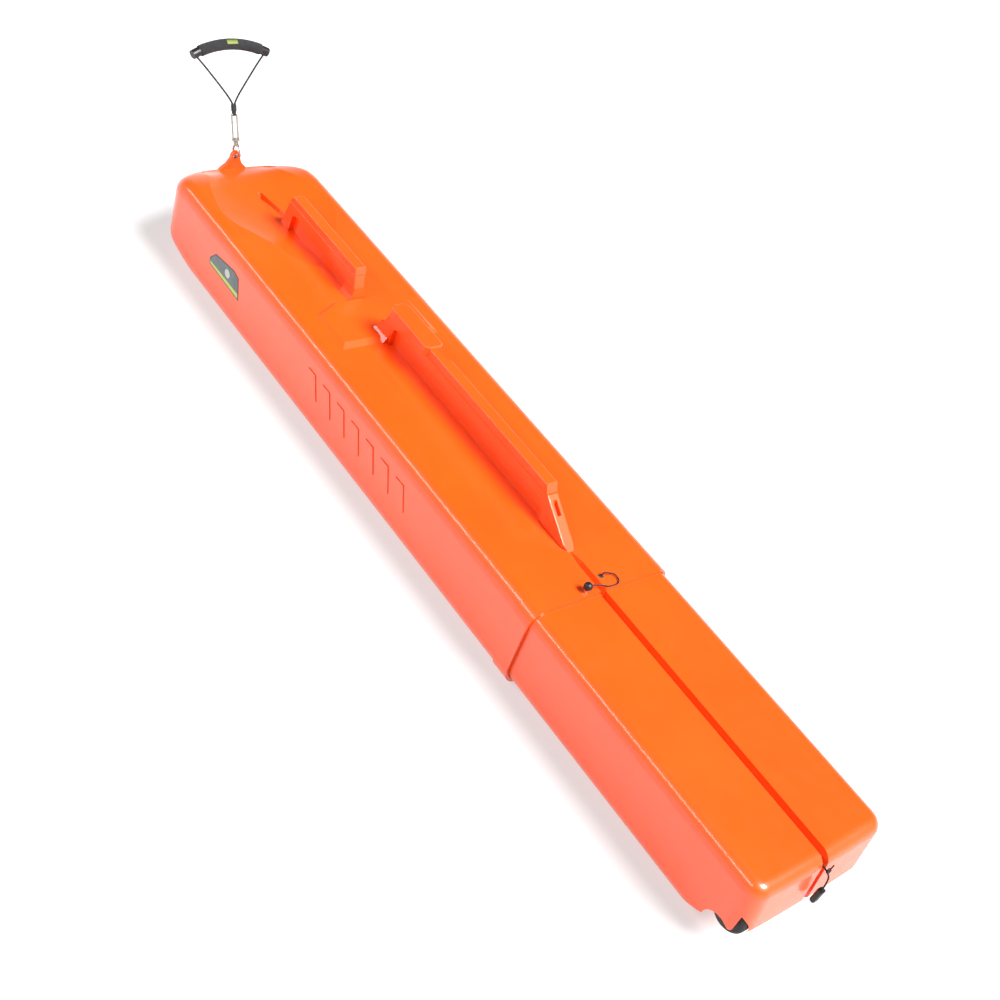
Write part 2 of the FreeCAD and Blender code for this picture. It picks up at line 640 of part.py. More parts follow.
def make_spacers():
    inboard = disc_y(AXLE_X, AXLE_Z, 7.0, WELL_IN_Y, WHEEL_IN_Y - 0.2)
    outboard = disc_y(AXLE_X, AXLE_Z, 7.0, WHEEL_OUT_Y + 0.2, BOSS_Y)
    pin = disc_y(AXLE_X, AXLE_Z, AXLE_R, 90, 140)
    return Part.makeCompound([inboard.cut(pin), outboard.cut(pin)])


# ---- tow hook and leash, built upright at the origin, then leaned --------------------------------------
def lean(shape):
    """Turns a piece built along +Z about the hook ring's centre, and puts it in the lug's eye."""
    placed = shape.copy()
    placed.rotate(V(0, 0, HOOK_R), V(0, 1, 0), LEASH_TILT)
    placed.translate(V(LUG_X, 0, LUG_Z))
    return placed


def torus_xz(centre_z, major, minor, start, end):
    """Part of a ring in the XZ plane; angles in degrees from +X towards +Z."""
    a = math.radians(start)
    section = Part.Face(Part.Wire([Part.makeCircle(
        minor, V(major * math.cos(a), 0, centre_z + major * math.sin(a)), V(-math.sin(a), 0, math.cos(a)))]))
    return section.revolve(V(0, 0, centre_z), V(0, -1, 0), end - start)


def make_hook_body():
    """Round snap hook, open on the tail side, where the gate closes it."""
    ring = torus_xz(HOOK_R, HOOK_R, HOOK_WIRE_R, -138, 118)
    neck = Part.makeCylinder(4.6, 8.0, V(0, 0, 2 * HOOK_R - 1))
    shoulder = rod(V(-1, 0, 21.6), V(-7.6, 0, 19.2), 2.6)
    body = fuse(ring, neck, shoulder)
    body = body.cut(box(-10.5, -2.0, -1.55, 1.55, 14, 23))
    swept = disc_y(GATE_X, GATE_Z, GATE_REACH + 0.3, -6, 6).common(box(-20, -3, -6, 6, -5, 9))
    body = body.cut(swept)
    body = body.cut(rod(V(GATE_X, -5, GATE_Z), V(GATE_X, 5, GATE_Z), 0.8))
    return body.cut(Part.makeCylinder(1.9, 8, V(0, 0, 24)))


def make_hook_gate():
    gate = torus_xz(HOOK_R, HOOK_R, 1.2, 128, 219)
    nose = rod(V(-8.5, 0, 4.2), V(-9.4, 0, 5.5), 2.0)
    gate = fuse(gate, nose).common(disc_y(GATE_X, GATE_Z, GATE_REACH, -6, 6))
    return gate.cut(rod(V(GATE_X, -5, GATE_Z), V(GATE_X, 5, GATE_Z), 0.85))


def make_swivel_eye():
    collar = Part.makeCylinder(7.4, 3.6, V(0, 0, SWIVEL_Z)).cut(Part.makeCylinder(1.95, 10, V(0, 0, 27)))
    legs = []
    for y in (-BAIL_HALF, BAIL_HALF):
        legs.append(rod(V(0, y, SWIVEL_Z + 1), V(0, y, BAIL_Z), BAIL_WIRE_R))
        legs.append(Part.makeSphere(BAIL_WIRE_R, V(0, y, BAIL_Z)))
    bar = rod(V(0, -BAIL_HALF, BAIL_Z), V(0, BAIL_HALF, BAIL_Z), BAIL_WIRE_R)
    return fuse(collar, bar, *legs)


def make_swivel_rivet():
    stud = Part.makeCylinder(1.9, 11.0, V(0, 0, 24))
    head = Part.makeCylinder(3.6, 1.8, V(0, 0, SWIVEL_Z + 4.0))
    return fuse(stud, head)


def make_webbing():
    inner = BAIL_WIRE_R + 0.3
    outer = inner + 1.2
    half = 3.2
    loop = rod(V(0, -half, BAIL_Z), V(0, half, BAIL_Z), outer)
    loop = fuse(loop, box(-outer, outer, -half, half, BAIL_Z, SLEEVE_BOTTOM))
    hole = fuse(rod(V(0, -half, BAIL_Z), V(0, half, BAIL_Z), inner),
                box(-inner, inner, -half, half, BAIL_Z, SLEEVE_BOTTOM))
    return loop.cut(hole)


def make_sleeve():
    sleeve = box(-4.2, 4.2, -4.8, 4.8, SLEEVE_BOTTOM, SLEEVE_TOP)
    return rounded(sleeve, 1.8, lambda p: SLEEVE_BOTTOM + 1 < p.z < SLEEVE_TOP - 1)


def grip_point(angle, below=0.0):
    """A point on the grip's bent centre line, at an angle in degrees from its middle."""
    a = math.radians(angle)
    centre_z = GRIP_MID_Z - GRIP_BEND_R
    radius = GRIP_BEND_R - below
    return V(0, radius * math.sin(a), centre_z + radius * math.cos(a))


def bent_rod(radius, bore, start, end):
    """A stretch of the grip, revolved round the centre of its bend."""
    a = math.radians(start)
    heading = V(0, math.cos(a), -math.sin(a))
    outline = Part.Face(Part.Wire([Part.makeCircle(radius, grip_point(start), heading)]))
    if bore:
        outline = outline.cut(Part.Face(Part.Wire([Part.makeCircle(bore, grip_point(start), heading)])))
    return outline.revolve(V(0, 0, GRIP_MID_Z - GRIP_BEND_R), V(-1, 0, 0), end - start)


LEG_SEAT = grip_point(22.2, 5.5)


def make_end_cap():
    cap = fuse(bent_rod(GRIP_CAP_R, 0, GRIP_FOAM_ANGLE, GRIP_END_ANGLE),
               bent_rod(GRIP_TUBE_R - 1.2, 0, GRIP_FOAM_ANGLE - 2, GRIP_FOAM_ANGLE))
    seat = rod(LEG_SEAT, LEG_SEAT + V(0, -9, -9), LEG_R)
    return cap.cut(seat)


LEG = [V(0, 1.9, SLEEVE_TOP - 1), V(0, 6.0, SLEEVE_TOP + 9), V(0, 32, SLEEVE_TOP + 41.5),
       LEG_SEAT + V(0, -9, -9), LEG_SEAT]


def make_badge():
    """A plain raised bar on the side of the foam."""
    thick = 0.6
    ring = bent_rod(GRIP_FOAM_R + thick, GRIP_FOAM_R, -3.2, 3.2)
    keep = box(-20, 0, -40, 40, GRIP_MID_Z + 0.5, GRIP_MID_Z + 8.0)
    return ring.common(keep)


# ---- tail toggle -------------------------------------------------------------------------------------
def make_toggle_body():
    top = TOGGLE_TOP_Z
    body = box(TOGGLE_X - 4.5, TOGGLE_X + 4.5, -6, 6, top - 24, top)
    body = rounded(body, 2.5, lambda p: top - 22 < p.z < top - 2)
    bore = box(TOGGLE_X - 3.0, TOGGLE_X + 3.0, -4.5, 4.5, top - 25, top - 10)
    return body.cut(bore)


def make_toggle_button():
    low = TOGGLE_TOP_Z - 28
    stem = box(TOGGLE_X - 2.9, TOGGLE_X + 2.9, -4.4, 4.4, low, low + 11)
    return rounded(stem, 1.0, lambda p: p.z < low + 0.01)


def make_toggle_spring():
    """Small compression spring between the button and the roof of the toggle."""
    coil_r = 1.9
    wire_r = 0.4
    coil = Part.makeHelix(2.0, 6.0, coil_r)
    section = Part.Wire([Part.makeCircle(wire_r, V(coil_r, 0, 0), V(0, 1, 0.17))])
    spring = Part.Wire(coil).makePipeShell([section], True, True)
    spring.translate(V(TOGGLE_X, 0, TOGGLE_TOP_Z - 16.5))
    return spring


def make_tail_eyelet(shell):
    x = TAIL_EYE_X - 0.3
    flange = rod(V(x - 1.0, 0, TAIL_EYE_Z), V(x + 0.6, 0, TAIL_EYE_Z), 4.2)
    barrel = rod(V(x, 0, TAIL_EYE_Z), V(x + 4.0, 0, TAIL_EYE_Z), 3.0)
    bore = rod(V(x - 5, 0, TAIL_EYE_Z), V(x + 10, 0, TAIL_EYE_Z), TAIL_CORD_R)
    return fuse(flange, barrel).cut(bore).cut(shell)


def make_sticker():
    """Plain six-sided plate on the +Y side near the nose."""
    return side_patch([(541, 88), (552, 46), (570, 41), (634, 52), (651, 72), (648, 84)], 0.5, 0.0)


def build():
    os.makedirs("parts", exist_ok=True)
    outer_shell, filled = make_outer_shell()
    save("outer_shell", outer_shell)
    inner_shell = make_inner_shell()
    save("inner_shell", inner_shell)
    save("lower_rail", make_lower_rail(filled))
    save("lower_rail_strip", make_lower_strip())
    save("upper_rail", make_upper_rail(filled))
    save("upper_rail_strip", make_upper_strip())
    save("side_sticker", make_sticker())

    pin = make_lock_pin()
    save("lock_pin", pin)
    save("lock_knob", make_lock_knob(pin))
    save("lock_anchor_eyelet", make_anchor_eyelet())
    save("lock_lanyard", make_lanyard())

    for side, place in (("left", as_is), ("right", mirrored)):
        save(side + "_wheel_tyre", place(make_tyre()))
        save(side + "_wheel_hub", place(make_hub()))
        save(side + "_wheel_bushes", place(make_bushes()))
        save(side + "_axle_pin", place(make_axle()))
        save(side + "_axle_cap", place(make_axle_cap()))
        save(side + "_axle_spacers", place(make_spacers()))

    bush = rod(V(LUG_X - LUG_THICK / 2, 0, LUG_Z), V(LUG_X + LUG_THICK / 2, 0, LUG_Z), EYE_BUSH_R)
    save("tow_eye_bush", bush.cut(rod(V(LUG_X - 9, 0, LUG_Z), V(LUG_X + 9, 0, LUG_Z), EYE_R)))
    save("tow_hook_body", lean(make_hook_body()))
    save("tow_hook_gate", lean(make_hook_gate()))
    save("tow_hook_gate_pin", lean(rod(V(GATE_X, -3.4, GATE_Z), V(GATE_X, 3.4, GATE_Z), 0.8)))
    save("swivel_rivet", lean(make_swivel_rivet()))
    save("swivel_eye", lean(make_swivel_eye()))
    save("leash_webbing", lean(make_webbing()))
    save("leash_sleeve", lean(make_sleeve()))
    leg = cord("leash_leg", LEG, LEG_R).cut(box(-9, 9, -9, 9, SLEEVE_TOP - 9, SLEEVE_TOP))
    save("left_leash_leg", lean(leg))
    save("right_leash_leg", lean(mirrored(leg)))
    tube = bent_rod(GRIP_TUBE_R, GRIP_TUBE_R - 1.2, -GRIP_FOAM_ANGLE, GRIP_FOAM_ANGLE)
    save("grip_tube", lean(tube))
    save("grip_foam", lean(bent_rod(GRIP_FOAM_R, GRIP_TUBE_R, -GRIP_FOAM_ANGLE, GRIP_FOAM_ANGLE)))
    save("left_grip_cap", lean(make_end_cap()))
    save("right_grip_cap", lean(mirrored(make_end_cap())))
    save("grip_badge", lean(make_badge()))

    save("tail_eyelet", make_tail_eyelet(inner_shell))
    save("tail_cord", make_tail_cord())
    save("toggle_body", make_toggle_body())
    save("toggle_button", make_toggle_button())
    save("toggle_spring", make_toggle_spring())


build()
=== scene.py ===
import math
import random

import bmesh
import bpy
from mathutils import Matrix, Vector


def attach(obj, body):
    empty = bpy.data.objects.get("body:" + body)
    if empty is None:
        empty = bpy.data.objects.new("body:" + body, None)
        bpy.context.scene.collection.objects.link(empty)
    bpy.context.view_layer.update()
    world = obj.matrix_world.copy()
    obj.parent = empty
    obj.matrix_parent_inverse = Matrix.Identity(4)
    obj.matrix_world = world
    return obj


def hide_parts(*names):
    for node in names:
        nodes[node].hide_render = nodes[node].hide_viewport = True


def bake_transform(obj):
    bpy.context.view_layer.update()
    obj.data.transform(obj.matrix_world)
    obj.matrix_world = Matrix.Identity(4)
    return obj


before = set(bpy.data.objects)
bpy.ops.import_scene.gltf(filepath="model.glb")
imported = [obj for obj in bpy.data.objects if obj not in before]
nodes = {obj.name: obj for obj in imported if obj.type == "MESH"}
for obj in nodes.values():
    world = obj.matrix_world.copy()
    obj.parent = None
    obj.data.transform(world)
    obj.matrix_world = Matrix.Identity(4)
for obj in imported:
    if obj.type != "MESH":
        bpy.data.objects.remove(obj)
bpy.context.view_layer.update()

# Lengths are in metres.  The leash is laid out upright along its own Z, in millimetres, and then leaned.
MM = 0.001
LUG_X = 846.0
LUG_Z = 174.0
HOOK_R = 11.0
LEASH_TILT = math.radians(29.3)
GRIP_BEND_R = 196.7
GRIP_BEND_Z = 8.3
FOAM_R = 10.45
FOAM_ANGLE = math.radians(19.5)
FOAM_INSIDE = 0.16       # how far the foam stays inside its CAD solid
FOAM_SHOULDER = 2.6      # length of the rounding at each end
BAIL_Z = 78.0
BAND_R = 2.4             # middle of the webbing, round the bar
BAND_HALF = 3.2
SLEEVE_BOTTOM = 84.0
SLEEVE_TOP = 97.0
SLEEVE_HALF_THICK = 4.1
SLEEVE_HALF_WIDE = 4.7
STITCH_ROWS = (86.5, 90.5, 94.5)

# The sticker's outline as X and Z in millimetres; its border is in millimetres and its parts in metres.
STICKER = [(541, 84), (552, 126), (570, 131), (634, 120), (651, 100), (648, 88)]
STICKER_BORDER = 2.6
STICKER_FOOT_TOP = 0.0955
STICKER_SPOT = (0.588, 0.1455, 0.110)
STICKER_SPOT_R = 0.0085

# Cord routes in millimetres; the legs' is on the upright leash.
LANYARD_R = 1.4 * MM
LEG_R = 2.0 * MM
TAIL_CORD_R = 1.5 * MM
LANYARD_POINTS = [(-299, -15, 169.5), (-299, -15, 182), (-301, -25, 179.2), (-305, -40, 175.2),
                  (-323, -37, 174.2), (-323, -13, 174.2), (-318.5, 10, 183), (-316, 25.2, 185)]
LEG_POINTS = [(0, 2.3, 97), (0, 6, 106), (0, 32, 138.5), (0, 63.24, 176.03), (0, 72.24, 185.03)]
TAIL_CORD_POINTS = [(-835.5, 0, 150), (-856.5, 0, 150), (-861.5, 0, 131), (-862, 0, 116)]
KNOT_MIDDLE = (-852.5, 0.0, 151.0)
KNOT_SIZE = 1.15

CAMERA_PLACE = (-1.16234, 1.46321, 1.64564)
CAMERA_RIGHT = (-0.57018, -0.75711, 0.31887)
CAMERA_FORWARD = (0.45944, -0.61565, -0.64023)
CAMERA_LENS = 52.045

FLOOR_HALF = 30.0
FLOOR_GREY = 0.34
FLOOR_GLOW = 0.52
SKY_LOW = 0.80           # world brightness up to SKY_FROM, and above SKY_TO
SKY_HIGH = 0.035
SKY_FROM = 0.12
SKY_TO = 0.42
KEY_FROM = (-2.6, -1.0, 4.2)
KEY_STRENGTH = 8.2
KEY_ANGLE = math.radians(26.0)
STRIP_FROM = (1.4, 2.0, 1.9)
STRIP_AIM = (1.4, 0.15, 0.16)
STRIP_POWER = 62.0
STRIP_LENGTH = 5.2
STRIP_WIDTH = 0.34


def leaned(x, y, z):
    """A point of the upright leash, in millimetres, where the leash leans towards the nose."""
    up = z - HOOK_R
    return Vector((LUG_X + x * math.cos(LEASH_TILT) + up * math.sin(LEASH_TILT), y,
                   LUG_Z + HOOK_R - x * math.sin(LEASH_TILT) + up * math.cos(LEASH_TILT))) * MM


# ---- camera, floor and light -----------------------------------------------------------------------
def add_camera():
    """From above and behind the left corner of the tail, looking along the case."""
    right = Vector(CAMERA_RIGHT).normalized()
    forward = Vector(CAMERA_FORWARD).normalized()
    up = right.cross(forward).normalized()
    right = forward.cross(up).normalized()
    data = bpy.data.cameras.new("camera")
    data.lens = CAMERA_LENS
    data.sensor_width = 36.0
    data.clip_end = 60.0
    cam = bpy.data.objects.new("camera", data)
    basis = Matrix((right, up, -forward)).transposed().to_4x4()
    cam.matrix_world = Matrix.Translation(CAMERA_PLACE) @ basis
    bpy.context.collection.objects.link(cam)
    bpy.context.scene.camera = cam


def add_floor():
    """White acrylic table, lit a little from below."""
    size = FLOOR_HALF
    mesh = bpy.data.meshes.new("floor")
    corners = [(-size, -size, 0), (size, -size, 0), (size, size, 0), (-size, size, 0)]
    mesh.from_pydata(corners, [], [(0, 1, 2, 3)])
    floor = bpy.data.objects.new("floor", mesh)
    bpy.context.collection.objects.link(floor)
    mat, tree, shader = new_material("floor")
    shader.inputs["Base Color"].default_value = (FLOOR_GREY, FLOOR_GREY, FLOOR_GREY, 1.0)
    shader.inputs["Roughness"].default_value = 0.9
    shader.inputs["Specular IOR Level"].default_value = 0.0
    shader.inputs["Emission Color"].default_value = (1.0, 1.0, 1.0, 1.0)
    shader.inputs["Emission Strength"].default_value = FLOOR_GLOW
    mesh.materials.append(mat)


def add_lamp(kind, name, place, target, power):
    data = bpy.data.lights.new(name, kind)
    data.energy = power
    lamp = bpy.data.objects.new(name, data)
    lamp.location = place
    lamp.rotation_euler = (Vector(target) - Vector(place)).to_track_quat("-Z", "Y").to_euler()
    bpy.context.collection.objects.link(lamp)
    return lamp


def add_light():
    """A pale sky near the floor and a dark one above, a soft key from the tail, and a strip for the rim."""
    world = bpy.data.worlds.new("studio")
    world.use_nodes = True
    tree = world.node_tree
    place = tree.nodes.new("ShaderNodeTexCoord")
    split = tree.nodes.new("ShaderNodeSeparateXYZ")
    ramp = tree.nodes.new("ShaderNodeValToRGB")
    ramp.color_ramp.elements[0].position = SKY_FROM
    ramp.color_ramp.elements[0].color = (SKY_LOW, SKY_LOW, SKY_LOW, 1)
    ramp.color_ramp.elements[1].position = SKY_TO
    ramp.color_ramp.elements[1].color = (SKY_HIGH, SKY_HIGH, SKY_HIGH, 1)
    tree.links.new(place.outputs["Generated"], split.inputs[0])
    tree.links.new(split.outputs["Z"], ramp.inputs["Fac"])
    tree.links.new(ramp.outputs["Color"], tree.nodes["Background"].inputs["Color"])
    bpy.context.scene.world = world

    key = add_lamp("SUN", "key", KEY_FROM, (0, 0, 0), KEY_STRENGTH)
    key.data.angle = KEY_ANGLE
    strip = add_lamp("AREA", "strip", STRIP_FROM, STRIP_AIM, STRIP_POWER)
    strip.data.shape = "RECTANGLE"
    strip.data.size = STRIP_LENGTH
    strip.data.size_y = STRIP_WIDTH
    bpy.context.scene.view_settings.view_transform = "Standard"


# ---- material helpers --------------------------------------------------------------------------------
def new_material(name):
    mat = bpy.data.materials.new(name)
    mat.use_nodes = True
    tree = mat.node_tree
    return mat, tree, tree.nodes["Principled BSDF"]


def node(tree, kind, **values):
    made = tree.nodes.new(kind)
    for key, value in values.items():
        name = key.replace("_", " ")
        if name in made.inputs:
            made.inputs[name].default_value = value
        else:
            setattr(made, key, value)
    return made


def coords(tree):
    return tree.nodes.new("ShaderNodeTexCoord").outputs["Object"]


def math_node(tree, operation, first, second):
    made = node(tree, "ShaderNodeMath", operation=operation)
    for socket, value in zip(made.inputs, (first, second)):
        if hasattr(value, "links"):
            tree.links.new(value, socket)
        else:
            socket.default_value = value
    return made.outputs[0]


def noise(tree, place, scale, detail=3.0, rough=0.55):
    made = node(tree, "ShaderNodeTexNoise", Scale=scale, Detail=detail, Roughness=rough)
    tree.links.new(place, made.inputs["Vector"])
    return made.outputs["Fac"]


def ramp_of(tree, factor, low, high, start=0.3, stop=0.7):
    made = tree.nodes.new("ShaderNodeValToRGB")
    made.color_ramp.elements[0].position = start
    made.color_ramp.elements[0].color = (*low, 1)
    made.color_ramp.elements[1].position = stop
    made.color_ramp.elements[1].color = (*high, 1)
    tree.links.new(factor, made.inputs["Fac"])
    return made.outputs["Color"]


def value_range(tree, factor, low, high):
    made = node(tree, "ShaderNodeMapRange", To_Min=low, To_Max=high)
    tree.links.new(factor, made.inputs["Value"])
    return made.outputs["Result"]


def bump_from(tree, height, strength, distance, normal=None):
    bump = node(tree, "ShaderNodeBump", Strength=strength, Distance=distance)
    tree.links.new(height, bump.inputs["Height"])
    if normal is not None:
        tree.links.new(normal, bump.inputs["Normal"])
    return bump.outputs["Normal"]


# ---- materials ---------------------------------------------------------------------------------------
def make_shell_plastic(name, grain_scale, coat):
    """Glossy blow-moulded plastic: orange-peel grain, a smooth skin, slow changes of colour and gloss."""
    mat, tree, shader = new_material(name)
    place = coords(tree)
    slow = noise(tree, place, 6.0)
    tree.links.new(ramp_of(tree, slow, (0.90, 0.072, 0.0028), (0.94, 0.082, 0.0034)),
                   shader.inputs["Base Color"])
    patchy = noise(tree, place, 38.0, 4.0)
    tree.links.new(value_range(tree, patchy, 0.30, 0.46), shader.inputs["Roughness"])
    waves = noise(tree, place, 26.0, 2.0, 0.4)
    grain = noise(tree, place, grain_scale, 2.0, 0.6)
    soft = bump_from(tree, waves, 0.04, 0.0010)
    tree.links.new(bump_from(tree, grain, 0.10, 0.00025, soft), shader.inputs["Normal"])
    shader.inputs["Coat Weight"].default_value = coat
    shader.inputs["Coat Roughness"].default_value = 0.10
    tree.links.new(soft, shader.inputs["Coat Normal"])
    return mat


def make_moulded(name, low, high, roughness, grain=1500.0, bump=0.25):
    """Black or coloured moulded plastic or rubber, with a fine spark-eroded texture."""
    mat, tree, shader = new_material(name)
    place = coords(tree)
    tree.links.new(ramp_of(tree, noise(tree, place, 60.0, 5.0), low, high), shader.inputs["Base Color"])
    tree.links.new(value_range(tree, noise(tree, place, 140.0, 4.0), roughness - 0.08, roughness + 0.08),
                   shader.inputs["Roughness"])
    tree.links.new(bump_from(tree, noise(tree, place, grain), bump, 0.00012), shader.inputs["Normal"])
    return mat


def make_metal(name, low, high, roughness):
    """Plated metal: fine scratches across, cloudy dull patches."""
    mat, tree, shader = new_material(name)
    place = coords(tree)
    cloud = noise(tree, place, 260.0, 5.0)
    tree.links.new(ramp_of(tree, cloud, low, high), shader.inputs["Base Color"])
    tree.links.new(value_range(tree, cloud, roughness - 0.1, roughness + 0.12), shader.inputs["Roughness"])
    stretch = node(tree, "ShaderNodeMapping", Scale=(900.0, 6000.0, 900.0))
    tree.links.new(place, stretch.inputs["Vector"])
    scratch = noise(tree, stretch.outputs["Vector"], 1.0, 2.0)
    tree.links.new(bump_from(tree, scratch, 0.15, 0.00004), shader.inputs["Normal"])
    shader.inputs["Metallic"].default_value = 1.0
    return mat


def make_fabric(name, low, high, thread):
    """Woven or braided polyester: two crossing thread waves, fuzz and sheen."""
    mat, tree, shader = new_material(name)
    place = coords(tree)
    tree.links.new(ramp_of(tree, noise(tree, place, 900.0, 4.0), low, high), shader.inputs["Base Color"])
    threads = []
    for turn in ((0.0, 0.0, 0.6), (0.6, 0.9, 0.0)):
        spin = node(tree, "ShaderNodeMapping", Rotation=turn)
        tree.links.new(place, spin.inputs["Vector"])
        wave = node(tree, "ShaderNodeTexWave", Scale=thread, Distortion=1.5, Detail=1.0)
        tree.links.new(spin.outputs["Vector"], wave.inputs["Vector"])
        threads.append(wave.outputs["Fac"])
    weave = math_node(tree, "MAXIMUM", threads[0], threads[1])
    tree.links.new(bump_from(tree, weave, 0.5, 0.00015), shader.inputs["Normal"])
    shader.inputs["Roughness"].default_value = 0.85
    shader.inputs["Sheen Weight"].default_value = 0.10
    shader.inputs["Sheen Roughness"].default_value = 0.5
    return mat


def make_foam():
    """Closed-cell foam: pores, a dry skin and greyer rubbed patches."""
    mat, tree, shader = new_material("foam")
    place = coords(tree)
    patchy = noise(tree, place, 90.0, 5.0)
    tree.links.new(ramp_of(tree, patchy, (0.007, 0.0075, 0.009), (0.016, 0.017, 0.019)),
                   shader.inputs["Base Color"])
    pores = node(tree, "ShaderNodeTexVoronoi", Scale=900.0)
    tree.links.new(place, pores.inputs["Vector"])
    skin = bump_from(tree, noise(tree, place, 120.0), 0.35, 0.0006)
    tree.links.new(bump_from(tree, pores.outputs["Distance"], 0.7, 0.0004, skin), shader.inputs["Normal"])
    shader.inputs["Roughness"].default_value = 0.92
    shader.inputs["Sheen Weight"].default_value = 0.06
    return mat


def make_sticker():
    """Generic film label: dark border, blue-grey field with a pale spot, yellow-green foot, no lettering."""
    mat, tree, shader = new_material("sticker_film")
    place = coords(tree)
    inside = 1.0
    middle = Vector((sum(p[0] for p in STICKER), sum(p[1] for p in STICKER))) / len(STICKER)
    for i, first in enumerate(STICKER):
        start = Vector(first)
        along = (Vector(STICKER[(i + 1) % len(STICKER)]) - start).normalized()
        across = Vector((-along.y, along.x))
        if across.dot(middle - start) < 0:
            across = -across
        dot = node(tree, "ShaderNodeVectorMath", operation="DOT_PRODUCT")
        tree.links.new(place, dot.inputs[0])
        dot.inputs[1].default_value = (across.x / MM, 0.0, across.y / MM)
        reach = math_node(tree, "SUBTRACT", dot.outputs["Value"], across.dot(start))
        inside = math_node(tree, "MINIMUM", reach, inside if i else 100.0)
    split = tree.nodes.new("ShaderNodeSeparateXYZ")
    tree.links.new(place, split.inputs[0])
    border = math_node(tree, "LESS_THAN", inside, STICKER_BORDER)
    foot = math_node(tree, "LESS_THAN", split.outputs["Z"], STICKER_FOOT_TOP)
    away = node(tree, "ShaderNodeVectorMath", operation="DISTANCE")
    tree.links.new(place, away.inputs[0])
    away.inputs[1].default_value = STICKER_SPOT
    spot = math_node(tree, "LESS_THAN", away.outputs["Value"], STICKER_SPOT_R)
    color = ramp_of(tree, noise(tree, place, 60.0), (0.040, 0.064, 0.074), (0.075, 0.108, 0.118))
    for mask, tint in ((spot, (0.42, 0.45, 0.40, 1)), (foot, (0.42, 0.50, 0.03, 1)),
                       (border, (0.012, 0.013, 0.016, 1))):
        mix = node(tree, "ShaderNodeMix", data_type="RGBA")
        tree.links.new(mask, mix.inputs["Factor"])
        tree.links.new(color, mix.inputs[6])
        mix.inputs[7].default_value = tint
        color = mix.outputs[2]
    tree.links.new(color, shader.inputs["Base Color"])
    tree.links.new(bump_from(tree, noise(tree, place, 300.0), 0.05, 0.0002), shader.inputs["Normal"])
    shader.inputs["Roughness"].default_value = 0.38
    shader.inputs["Coat Weight"].default_value = 0.4
    shader.inputs["Coat Roughness"].default_value = 0.15
    return mat


def wear(material, *names):
    """Gives the named nodes one material."""
    for name in names:
        mesh = nodes[name].data
        if not mesh.materials:
            mesh.materials.append(material)
        for i in range(len(mesh.materials)):
            mesh.materials[i] = material


# ---- mesh helpers ------------------------------------------------------------------------------------
def piece_from(name, mesh, body, material):
    """A smooth-shaded piece; a piece that joins two bodies is made with no body."""
    for face in mesh.polygons:
        face.use_smooth = True
    mesh.materials.append(material)
    made = bpy.data.objects.new(name, mesh)
    bpy.context.collection.objects.link(made)
    if body:
        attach(made, body)
    return made


def skin_rings(bm, rings):
    """Joins rings of points, each as long as the next, into a tube with closed ends."""
    rows = [[bm.verts.new(p) for p in ring] for ring in rings]
    count = len(rows[0])
    for a, b in zip(rows, rows[1:]):
        for i in range(count):
            j = (i + 1) % count
            bm.faces.new((a[i], a[j], b[j], b[i]))
    bm.faces.new(list(reversed(rows[0])))
    bm.faces.new(rows[-1])


def mesh_of(name, bm):
    bmesh.ops.recalc_face_normals(bm, faces=bm.faces)
    mesh = bpy.data.meshes.new(name)
    bm.to_mesh(mesh)
    bm.free()
    return mesh


def smooth_route(points):
    """The points of a smooth cord line, read from a NURBS spline with the route's points as its controls."""
    data = bpy.data.curves.new("route", "CURVE")
    data.dimensions = "3D"
    data.resolution_u = 30
    spline = data.splines.new("NURBS")
    spline.points.add(len(points) - 1)
    for control, place in zip(spline.points, points):
        control.co = (*place, 1.0)
    spline.order_u = 3
    spline.use_endpoint_u = True
    holder = bpy.data.objects.new("route", data)
    bpy.context.collection.objects.link(holder)
    mesh = bpy.data.meshes.new_from_object(holder)
    line = [v.co.copy() for v in mesh.vertices]
    bpy.data.objects.remove(holder)
    bpy.data.meshes.remove(mesh)
    bpy.data.curves.remove(data)
    return line


def frames_along(line):
    """Position, two side directions and distance from the start, at each point; the sides never twist."""
    found = []
    side = None
    travelled = 0.0
    for i, place in enumerate(line):
        ahead = (line[min(i + 1, len(line) - 1)] - line[max(i - 1, 0)]).normalized()
        if side is None:
            side = ahead.orthogonal().normalized()
        side = (side - ahead * side.dot(ahead)).normalized()
        found.append((place, side, ahead.cross(side), travelled))
        if i + 1 < len(line):
            travelled += (line[i + 1] - place).length
    return found


def round_ring(place, side, other, radius, count):
    return [place + (side * math.cos(math.tau * k / count)
                     + other * math.sin(math.tau * k / count)) * radius for k in range(count)]


def braided_mesh(name, line, radius, pitch, pairs=4):
    """A round braid: `pairs` strands each way round, passing over and under each other, on a dark core."""
    bm = bmesh.new()
    frames = frames_along(line)
    skin_rings(bm, [round_ring(p, s, o, radius * 0.72, 10) for p, s, o, _ in frames])
    strand = radius * 0.40
    weave = radius * 0.10
    for way in (1, -1):
        for k in range(pairs):
            path = []
            for place, side, other, along in frames:
                turn = way * math.tau * along / pitch + math.tau * (k + 0.25 * (1 - way)) / pairs
                lift = way * weave * math.cos(math.tau * pairs * along / pitch + math.pi * k)
                out = side * math.cos(turn) + other * math.sin(turn)
                path.append(place + out * (radius - strand - weave + lift))
            rings = [round_ring(p, s, o, strand, 6) for p, s, o, _ in frames_along(path)]
            skin_rings(bm, rings)
    return mesh_of(name, bm)


